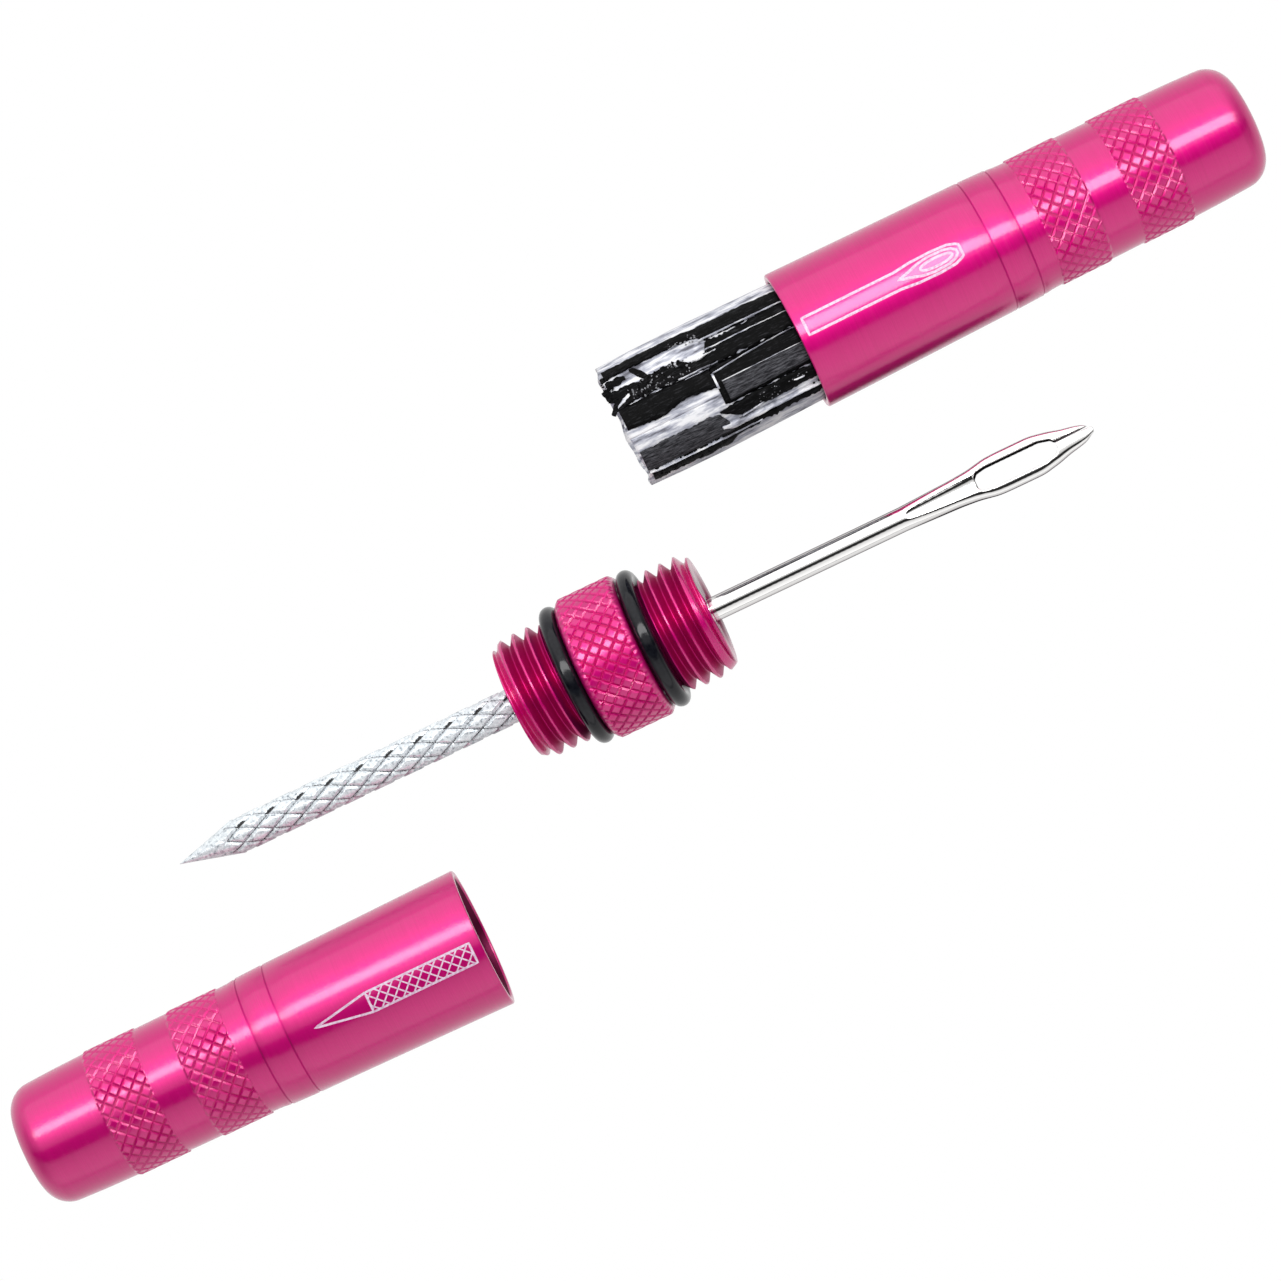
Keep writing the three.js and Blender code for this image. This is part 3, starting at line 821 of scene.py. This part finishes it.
def rasp_icon():
    """The rasp's shaft with crossing cuts, and its cone."""
    centre, half, start, end, tip = 0.76, 1.11, 1.15, 13.1, 19.35
    frame_line = [(start, centre - half), (end, centre - half), (end, centre + half),
                  (start, centre + half), (start, centre - half)]
    cone = [(end, centre - half), (tip, centre), (end, centre + half)]
    engraved_lines("rasp_outline", "reamer_cap", reamer_cap, [frame_line, cone], RASP_LINE_WIDTH)
    hatch = []
    count = int((end - start + 2 * half) / HATCH_SPACING)
    for i in range(1, count + 1):
        for slope in (1, -1):
            low = start - 2 * half + i * HATCH_SPACING
            a = (low, -slope * half)
            b = (low + 2 * half, slope * half)
            t0 = max(0.0, (start - a[0]) / (b[0] - a[0]))
            t1 = min(1.0, (end - a[0]) / (b[0] - a[0]))
            if t1 - t0 > 0.05:
                p = (a[0] + (b[0] - a[0]) * t0, centre + a[1] + (b[1] - a[1]) * t0)
                q = (a[0] + (b[0] - a[0]) * t1, centre + a[1] + (b[1] - a[1]) * t1)
                hatch.append([p, q])
    engraved_lines("rasp_hatching", "reamer_cap", reamer_cap, hatch, HATCH_WIDTH)


# ---------- plug roll

# Along the fork cap's axis, from its mouth into it.
ROLL_START = -20.3
ROLL_END = 20.7
STRIP_THICKNESS = 0.34
STRIP_TEXTURE_RADIUS = 6.9
SLAB_LENGTH = 50


def roll_radius(d):
    """Outer radius of the roll: springy outside the cap, squeezed where it enters the bore."""
    outside = np.interp(d, [-20.3, -17, -12, -6, -0.6], [6.84, 6.95, 7.02, 6.93, 6.8])
    squeeze = np.clip((d + 0.2) / 1.3, 0, 1)
    squeeze = squeeze * squeeze * (3 - 2 * squeeze)
    return outside + (6.22 - outside) * squeeze


def press_with_roll(obj):
    """Give a piece of the springy roll its own copy of its mesh."""
    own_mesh(obj)


def press_slab(obj):
    press_with_roll(obj)


def value_noise(seed, length, scale):
    """A smooth random line of about +-1, sampled at places measured in millimetres."""
    source = random.Random(seed)
    knots = [source.uniform(-1, 1) for i in range(int(length / scale) + 4)]

    def at(place):
        t = np.clip(np.asarray(place) / scale, 0, len(knots) - 2)
        i = t.astype(int)
        f = t - i
        f = f * f * (3 - 2 * f)
        line = np.array(knots)
        return line[i] * (1 - f) + line[i + 1] * f

    return at


def slab_object(name, rings, arcs, places):
    """A closed slab on the fork cap's axes. Its rings run lengthwise: the outer face's from side to side,
    then the inner face's back again. arcs and places are the texture's coordinates across and along."""
    loop, rows = len(rings), len(places)
    faces, uvs = [], []
    for a in range(loop):
        b = (a + 1) % loop
        for i in range(rows - 1):
            faces.append((a * rows + i, b * rows + i, b * rows + i + 1, a * rows + i + 1))
            uvs += [(arcs[a][i], places[i]), (arcs[b][i], places[i]),
                    (arcs[b][i + 1], places[i + 1]), (arcs[a][i + 1], places[i + 1])]
    for i, order in ((0, 1), (rows - 1, -1)):
        for a in range(loop // 2 - 1):
            corners = (a, a + 1, loop - 2 - a, loop - 1 - a)[::order]
            faces.append(tuple(k * rows + i for k in corners))
            uvs += [(arcs[k][i], places[i]) for k in corners]
    obj = mesh_object(name, fork_cap.points(np.reshape(rings, (-1, 3))), faces, uvs)
    face_outwards(obj)
    return obj


def jagged(seed, offset, coarse):
    """A ragged edge: a slow wander with finer tears on it."""
    fine = value_noise(seed + 1, SLAB_LENGTH, 0.3)(offset)
    return value_noise(seed, SLAB_LENGTH, coarse)(offset) + 0.9 * fine


def on_axis_circle(places, radius, angle):
    """Points at a radius and an angle from the top, beside the given places on the axis."""
    return np.stack([places, radius * np.sin(angle), radius * np.cos(angle)], 1)


def curved_slab(name, knots, inner_lift, outer_lift, jag, seed, across=9, step=0.16):
    """A slab wrapped on the roll. knots are (distance, low angle, high angle); jag roughens its edges, in
    degrees. Lifts are measured from the film's outer face."""
    start, end = knots[0][0], knots[-1][0]
    count = max(4, round((end - start) / step))
    places = np.linspace(start, end, count + 1)
    table = np.array(knots)
    offset = places - start
    low = np.interp(places, table[:, 0], table[:, 1]) + jag * jagged(seed, offset, 1.1)
    high = np.interp(places, table[:, 0], table[:, 2]) + jag * jagged(seed + 2, offset, 1.3)
    wave = value_noise(seed + 4, SLAB_LENGTH, 2.5)(offset)
    base = roll_radius(places) - STRIP_THICKNESS + inner_lift
    top, bottom, arcs = [], [], []
    for j in range(across):
        t = j / (across - 1)
        angle = np.radians(low + (high - low) * t)
        crown = 1 - (2 * t - 1) ** 6 * 0.35
        rough = value_noise(seed + 10 + j, SLAB_LENGTH, 0.8)(offset)
        radius = base + (outer_lift - inner_lift) * crown * (1 + 0.1 * wave + 0.12 * rough)
        top.append(on_axis_circle(places, radius, angle))
        bottom.append(on_axis_circle(places, base, angle))
        arcs.append(angle * STRIP_TEXTURE_RADIUS)
    return slab_object(name, top + bottom[::-1], arcs + arcs[::-1], places)


# Edges of each strip: (distance from the mouth, low angle, high angle), and how ragged it is.
STRIP_EDGES = {
    "plug_strip_01": ([(-20.0, 49, 63), (-11.0, 48, 60), (-9.6, 46, 59), (-8.8, 38, 58),
                       (20.5, 38, 59)], 1.0),
    "plug_strip_02": ([(-20.2, 14, 31), (-13.0, 14, 30), (-12.4, 13, 22), (-9.8, 13, 21), (-9.0, 12, 36),
                       (20.5, 12, 36)], 1.6),
    "plug_strip_03": ([(-20.2, -7, 13), (-18.0, -8, 13), (-16.0, -10, 13), (-15.0, -7, 13), (-13.0, -4, 13),
                       (-11.5, -6, 12), (-9.9, -8, 9)], 0.7),
    "plug_strip_04": ([(-9.2, -23, -4.5), (20.4, -22, -4)], 0.35),
    "plug_strip_05": ([(-10.8, -31, -29), (-9.0, -41, -27), (20.5, -41, -26)], 0.8),
    "plug_strip_06": ([(-20.1, -54, -30), (-12.0, -54, -30), (-10.9, -54, -32), (-10.1, -54, -46)], 0.8),
    "plug_strip_07": ([(-19.8, -73, -57), (-11.5, -73, -57), (-9.5, -62, -52), (0.5, -60, -50),
                       (20.5, -62, -50)], 2.2),
    "plug_strip_08": ([(-19.6, -127, -109), (20.3, -127, -109)], 1.0),
    "plug_strip_09": ([(-20.1, -150, -130), (20.5, -150, -130)], 1.4),
    "plug_strip_10": ([(-19.4, -209, -191), (20.2, -209, -191)], 1.0),
    "plug_strip_11": ([(-20.0, -229, -211), (20.5, -229, -211)], 1.6),
    "plug_strip_12": ([(-19.7, -251, -231), (20.4, -251, -231)], 1.0),
}
DUSTY_STRIPS = ("plug_strip_04", "plug_strip_06", "plug_strip_10")


def strips():
    for i, (name, (knots, jag)) in enumerate(STRIP_EDGES.items()):
        obj = curved_slab(name + "_rubber", knots, 0.02, STRIP_THICKNESS, jag, 100 * (i + 1))
        material = GREY_RUBBER if name in DUSTY_STRIPS else STRIP_RUBBER
        finish_piece(obj, name, "plug_rubber", material, name)
        press_slab(obj)


# Slivers of film standing between the strips: (knots as above, how ragged, how high they stand).
SLIVERS = [
    ([(-9.6, 38.2, 39.4), (-4.0, 38.4, 39.2), (6.0, 38.6, 39.1)], 0.25, 0.42),
    ([(-9.4, 26.6, 28.0), (-5.0, 27.0, 27.9), (6.0, 27.3, 27.7)], 0.25, 0.42),
    ([(-11.2, 21.5, 24.5), (-10.0, 22.0, 24.0), (-8.3, 22.9, 23.2)], 0.6, 0.5),
    ([(-13.2, 12.2, 13.2), (-11.0, 12.4, 13.3), (-8.7, 12.2, 12.5)], 0.3, 0.5),
    ([(-12.6, 9.9, 10.5), (-9.8, 10.0, 10.5)], 0.2, 0.48),
    ([(-9.7, 4.6, 5.4), (-6.0, 7.5, 8.2), (-2.0, 9.6, 10.2), (5.0, 10.2, 10.6)], 0.2, 0.46),
    ([(-9.95, -9.0, 5.0), (-9.72, -9.0, 5.0)], 0.3, 0.5),
    ([(-9.2, -4.9, -4.1), (-5.0, -4.8, -4.2), (4.0, -4.7, -4.4)], 0.15, 0.44),
    ([(-20.0, -57.2, -56.2), (-14.0, -57.0, -56.3), (-10.2, -57.2, -55.8), (-7.0, -57.0, -56.6)], 0.3, 0.46),
    ([(-11.2, -46.4, -42.5), (-10.0, -51.0, -43.5), (-6.0, -50.0, -46.0), (-3.0, -49.6, -47.4),
      (0.4, -49.4, -48.0)], 0.4, 0.5),
    ([(-8.8, -42.6, -41.8), (-7.4, -40.6, -39.8), (-6.2, -38.2, -37.8)], 0.3, 0.42),
    ([(-2.4, -34.0, -32.6), (-1.6, -35.0, -33.6), (-1.2, -34.6, -34.0)], 0.5, 0.42),
    ([(-20.1, 14.0, 16.0), (-19.3, 16.0, 20.0), (-18.4, 20.0, 23.0)], 0.7, 0.42),
]


def slivers():
    for i, (knots, jag, height) in enumerate(SLIVERS):
        obj = curved_slab(f"film_sliver_{i + 1}", knots, 0.02, height, jag, 5000 + 50 * i, 5)
        finish_piece(obj, "plug_roll", "film", FILM)
        press_slab(obj)


# Thin rubber left on the film where a strip has been pulled off it.
SMEARS = [
    ([(-9.9, -25, 12), (-9.4, -26, 12), (20.5, -26, 12)], 0.5),
    ([(-17.3, 44, 49), (-16.8, 36, 48), (-16.2, 30, 41), (-15.8, 29, 33)], 0.8),
    ([(-20.2, 36, 46), (-18.8, 36, 46), (-18.0, 40, 44)], 1.5),
    ([(-12.6, 17, 31), (-11.0, 19, 24), (-9.0, 18, 25)], 1.4),
    ([(-20.95, 33, 36), (-20.7, 29, 38), (-20.35, 30, 40), (-20.0, 30, 36)], 2.2),
    ([(-20.8, 25, 29), (-20.6, 22, 29), (-20.0, 22, 29)], 2.0),
    ([(-21.0, 13, 16), (-20.7, 10, 19), (-20.3, 12, 22), (-20.0, 12, 20)], 2.2),
    ([(-20.5, 47, 55), (-20.0, 47, 55)], 1.2),
    ([(-19.6, -66, -58), (-17.0, -69, -58), (-14.0, -66, -58), (-12.0, -69, -58)], 2.4),
]


def smears():
    for i, (knots, jag) in enumerate(SMEARS):
        obj = curved_slab(f"rubber_smear_{i + 1}", knots, 0.01, 0.1, jag, 3000 + 50 * i)
        finish_piece(obj, "plug_roll", "plug_rubber", STRIP_RUBBER)
        press_slab(obj)


# Small torn lumps of rubber: (distance from, to, angle from, to, how many, largest half size, dusty).
CRUMBS = [
    (-18.6, -11.4, 15, 30, 60, 0.2, False),
    (-18.6, -11.4, 13, 29, 60, 0.15, True),
    (-20.6, -19.6, 22, 44, 26, 0.22, False),
    (-12.5, -9.4, 40, 52, 24, 0.16, True),
    (-19.0, -12.0, -70, -60, 44, 0.2, False),
    (-6.5, -0.8, -40, -29, 30, 0.12, True),
]


def crumbs():
    """Lumps with eight uneven faces each, lying on the strips."""
    for number, (near, far, low, high, count, largest, dusty) in enumerate(CRUMBS):
        source = random.Random(900 + number)
        corners, faces = [], []
        for lump in range(count):
            place = source.uniform(near, far)
            angle = math.radians(source.uniform(low, high))
            half = largest * source.uniform(0.35, 1.0)
            radius = float(roll_radius(place)) - half * 0.2
            base = len(corners)
            for along, round_, out in ((1, 0, 0), (0, 1, 0), (-1, 0, 0), (0, -1, 0), (0, 0, 1), (0, 0, -1)):
                reach = half * source.uniform(0.6, 1.5)
                arc = angle + round_ * reach / radius
                height = radius + out * reach * 0.6
                corners.append((place + along * reach, height * math.sin(arc), height * math.cos(arc)))
            for i in range(4):
                j = (i + 1) % 4
                faces.append((base + i, base + j, base + 4))
                faces.append((base + j, base + i, base + 5))
        name = f"rubber_crumbs_{number + 1}"
        obj = mesh_object(name, fork_cap.points(corners), faces, smooth=False)
        face_outwards(obj)
        finish_piece(obj, "plug_roll", "plug_rubber", CRUMB_RUBBER if dusty else STRIP_RUBBER)
        press_with_roll(obj)


FILM_SEAM = math.radians(186)
FILM_TURNS = 1.12
FILM_WIDTH = 43.0
FILM_THICKNESS = 0.12
FILM_PANELS = 12
FILM_PANEL_STEPS = 19
FILM_LENGTH_STEPS = 90
FILM_WAVER = value_noise(7, SLAB_LENGTH, 3.0)
# Angles from the top where no strip holds the film down, how far it stands off there and how wide.
SLACK_ANGLES = (80, -86)
SLACK_HEIGHT = 0.3
SLACK_SPREAD = 13
# The share of the width from which the inner edge dips under the outer one, and how far.
DIP_START = 0.86
DIP_DEPTH = 0.42


def film_slack(degrees_round):
    slack = 0.0
    for middle in SLACK_ANGLES:
        away = (degrees_round - middle + 180) % 360 - 180
        slack += SLACK_HEIGHT * math.exp(-((away / SLACK_SPREAD) ** 2))
    return slack


def film_point(t, places, thickness):
    """The film's points at a share t of its width, and their angle from the top."""
    angle = FILM_SEAM - t * FILM_TURNS * TAU
    inward = DIP_DEPTH * max(0.0, (t - DIP_START) / (1 - DIP_START))
    radius = roll_radius(places) - STRIP_THICKNESS - inward + thickness
    radius = radius + film_slack(math.degrees(angle))
    radius = radius + 0.03 * FILM_WAVER(np.full(len(places), 25 * (0.5 + 0.5 * math.cos(angle))))
    ragged = 0.12 * math.sin(5 * angle) + 0.08 * math.sin(11 * angle)
    shifted = places + np.where(places < -19.9, ragged, 0)
    return on_axis_circle(shifted, radius, angle), angle


def film_panel(number):
    """One lengthwise panel of the film, as a closed thin slab."""
    places = np.linspace(ROLL_START, ROLL_END, FILM_LENGTH_STEPS + 1)
    shares = np.linspace(number / FILM_PANELS, (number + 1) / FILM_PANELS, FILM_PANEL_STEPS + 1)
    outer = [film_point(t, places, 0.0)[0] for t in shares]
    inner = [film_point(t, places, -FILM_THICKNESS)[0] for t in shares]
    arcs = [np.full(len(places), t * FILM_WIDTH) for t in shares]
    name = f"backing_film_panel_{number + 1:02d}"
    obj = slab_object(name, outer + inner[::-1], arcs + arcs[::-1], places)
    loop = 2 * len(shares)
    sides = np.arange(loop * FILM_LENGTH_STEPS) // FILM_LENGTH_STEPS
    smooth = np.full(len(obj.data.polygons), False)
    smooth[: len(sides)] = (sides != FILM_PANEL_STEPS) & (sides != loop - 1)
    obj.data.polygons.foreach_set("use_smooth", smooth)
    return obj


def film():
    """A film rolled a little more than one turn; its two edges overlap on the underside."""
    for number in range(FILM_PANELS):
        obj = film_panel(number)
        finish_piece(obj, "plug_roll", "film", FILM, "backing_film")
        middle = film_point((number + 0.5) / FILM_PANELS, np.zeros(1), 0.0)[1]
        press_with_roll(obj)


# ---------- floor, light, camera

CAMERA_DISTANCE = 520.0
PICTURE_WIDTH = 134.4
PICTURE_TURN = 25.5
# Half the floor's side and how far it lies under the pieces, in metres.
FLOOR_HALF = 3.0
FLOOR_DROP = 0.0002
# Light that the white floor throws back on the pieces; the camera sees it as pure white.
FLOOR_GLOW = 0.84
# The shaded patch of floor under the needle: its middle along the tool and its two half lengths.
SHADE_MIDDLE = 36.0
SHADE_HALF = (38.0, 14.0)


def floor():
    mesh = bpy.data.meshes.new("floor")
    corners = [(x * FLOOR_HALF, y * FLOOR_HALF, 0) for x, y in ((-1, -1), (1, -1), (1, 1), (-1, 1))]
    mesh.from_pydata(corners, [], [(0, 1, 2, 3)])
    obj = bpy.data.objects.new("floor", mesh)
    bpy.context.scene.collection.objects.link(obj)
    material, nodes, links, shader = new_material("studio_floor")
    shader.inputs["Base Color"].default_value = (0, 0, 0, 1)
    shader.inputs["Specular IOR Level"].default_value = 0.0
    shader.inputs["Emission Color"].default_value = (1, 1, 1, 1)
    place = nodes.new("ShaderNodeMapping")
    place.vector_type = "TEXTURE"
    middle = tool.origin + tool.x * SHADE_MIDDLE * MM
    place.inputs["Location"].default_value = (middle.x, middle.y, 0)
    place.inputs["Rotation"].default_value = (0, 0, math.atan2(tool.x.y, tool.x.x))
    place.inputs["Scale"].default_value = (SHADE_HALF[0] * MM, SHADE_HALF[1] * MM, 1)
    links.new(nodes.new("ShaderNodeTexCoord").outputs["Object"], place.inputs["Vector"])
    patch = nodes.new("ShaderNodeTexGradient")
    patch.gradient_type = "SPHERICAL"
    links.new(place.outputs["Vector"], patch.inputs["Vector"])
    stops = [(0.3, (FLOOR_GLOW, FLOOR_GLOW, FLOOR_GLOW)), (0.5, (0.02, 0.02, 0.02))]
    glow = ramp_node(nodes, links, patch.outputs["Fac"], stops)
    seen = nodes.new("ShaderNodeLightPath").outputs["Is Camera Ray"]
    links.new(math_node(nodes, links, "MAXIMUM", seen, glow), shader.inputs["Emission Strength"])
    obj.data.materials.append(material)
    obj.location.z = -FLOOR_DROP


# Brightness of the room round the tool's axis: (angle from overhead towards +Y in degrees, brightness).
ROOM = [
    (-180, 0.8), (-91, 1.18), (-89, 0.4), (-86, 0.4), (-84, 1.15), (-66, 1.04), (-54, 0.95), (-42, 0.82),
    (-36, 0.75), (-32, 0.6), (-29, 0.02), (-6, 0.02), (-4, 0.5), (0, 0.65), (8, 0.85), (18, 1.1), (30, 1.22),
    (48, 1.35), (90, 1.35), (180, 0.8),
]
# Share of that brightness left towards +-X, and the X of a direction where it begins and ends to fall.
ROOM_ENDS = 0.35
ROOM_END_RANGE = (0.55, 0.9)


def room():
    world = bpy.data.worlds.new("studio")
    bpy.context.scene.world = world
    world.use_nodes = True
    nodes, links = world.node_tree.nodes, world.node_tree.links
    direction = nodes.new("ShaderNodeTexCoord").outputs["Generated"]
    parts = nodes.new("ShaderNodeSeparateXYZ")
    links.new(direction, parts.inputs["Vector"])
    angle = math_node(nodes, links, "ARCTAN2", parts.outputs["Y"], parts.outputs["Z"])
    share = range_node(nodes, links, angle, 0, 1, -math.pi, math.pi)
    stops = [((degrees + 180) / 360, (value, value, value)) for degrees, value in ROOM]
    links.new(ramp_node(nodes, links, share, stops), nodes["Background"].inputs["Color"])
    sideways = math_node(nodes, links, "ABSOLUTE", parts.outputs["X"])
    ends = range_node(nodes, links, sideways, 1.0, ROOM_ENDS, *ROOM_END_RANGE)
    links.new(ends, nodes["Background"].inputs["Strength"])


def area_light(name, position, target, size, power):
    light = bpy.data.lights.new(name, "AREA")
    light.shape = "RECTANGLE"
    light.size, light.size_y = size
    light.energy = power
    obj = bpy.data.objects.new(name, light)
    obj.location = position
    obj.rotation_euler = (Vector(target) - Vector(position)).to_track_quat("-Z", "Y").to_euler()
    bpy.context.scene.collection.objects.link(obj)


def camera():
    centre = Vector((tool.origin.x, tool.origin.y)) + Vector((3.14, 0.37)) * MM
    lens = bpy.data.cameras.new("camera")
    lens.lens = lens.sensor_width * CAMERA_DISTANCE / PICTURE_WIDTH
    lens.clip_end = 10
    obj = bpy.data.objects.new("camera", lens)
    obj.location = (centre.x, centre.y, tool.origin.z + CAMERA_DISTANCE * MM)
    obj.rotation_euler = (0, 0, -math.radians(PICTURE_TURN))
    bpy.context.scene.collection.objects.link(obj)
    bpy.context.scene.camera = obj


camera()
hub()
o_ring("o_ring_fork_side_moulded", "o_ring_fork_side", 1)
o_ring("o_ring_reamer_side_moulded", "o_ring_reamer_side", -1)
rasp()
needle()
cap("fork_cap_turned", "fork_cap", fork_cap)
cap("reamer_cap_turned", "reamer_cap", reamer_cap)
needle_icon()
rasp_icon()
film()
strips()
slivers()
smears()
crumbs()
floor()
room()
area_light("strip_light", (0, 0.045, 0.125), (0, 0.045, 0), (0.34, 0.036), 0.25)
bpy.context.scene.view_settings.view_transform = "Standard"
